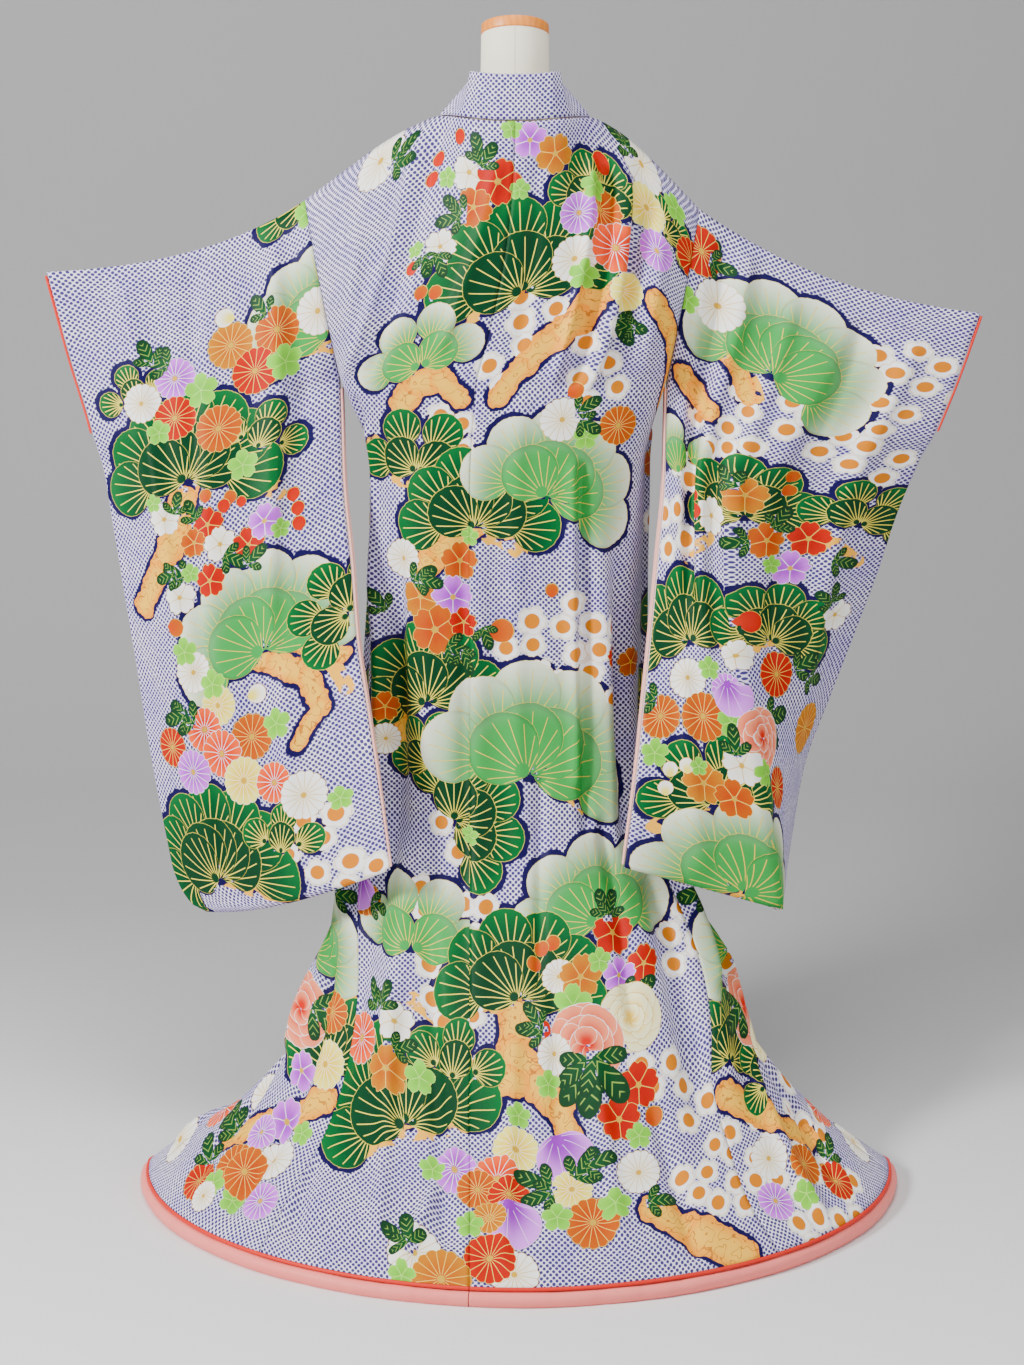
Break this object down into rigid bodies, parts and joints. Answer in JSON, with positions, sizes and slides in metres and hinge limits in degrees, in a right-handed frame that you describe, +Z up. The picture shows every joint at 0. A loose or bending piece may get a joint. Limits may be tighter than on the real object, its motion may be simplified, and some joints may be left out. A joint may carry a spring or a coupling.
{
  "type": "bridal furisode on a limbless dress form",
  "caption": "Long-sleeved trailing bridal kimono with a padded hem, worn by a limbless dress form on a round base, seen whole from every side.",
  "frame": {"origin": "the middle of the stand's base, on the floor", "axes": "+Z up, +Y towards the garment's back and its train, +X towards the wearer's left"},
  "size_m": [1.2898, 0.825, 1.5559],
  "materials": {
    "silk": "white silk crepe with small navy resist dots and many-coloured flowers, satin sheen",
    "pink_silk": "soft pink silk, padded",
    "red_silk": "red-orange silk piping",
    "canvas": "ivory canvas over a hard shell",
    "wood": "tan, satin varnish",
    "steel": "grey, satin"
  },
  "bodies": {
    "root": {"back_left": "silk", "front_left": "silk", "overlap_left": "silk", "sleeve_left_back": "silk", "sleeve_left_front": "silk", "cuff_edge_left_back": "red_silk", "inner_edge_left_back": "pink_silk", "cuff_edge_left_front": "red_silk", "inner_edge_left_front": "pink_silk", "hem_roll_left": "pink_silk", "hem_piping_left": "red_silk", "back_right": "silk", "front_right": "silk", "overlap_right": "silk", "sleeve_right_back": "silk", "sleeve_right_front": "silk", "cuff_edge_right_back": "red_silk", "inner_edge_right_back": "pink_silk", "cuff_edge_right_front": "red_silk", "inner_edge_right_front": "pink_silk", "hem_roll_right": "pink_silk", "hem_piping_right": "red_silk", "collar": "silk", "form_torso": "canvas", "form_cap": "wood", "stand_pole": "steel", "stand_base": "steel"}
  },
  "joints": []
}
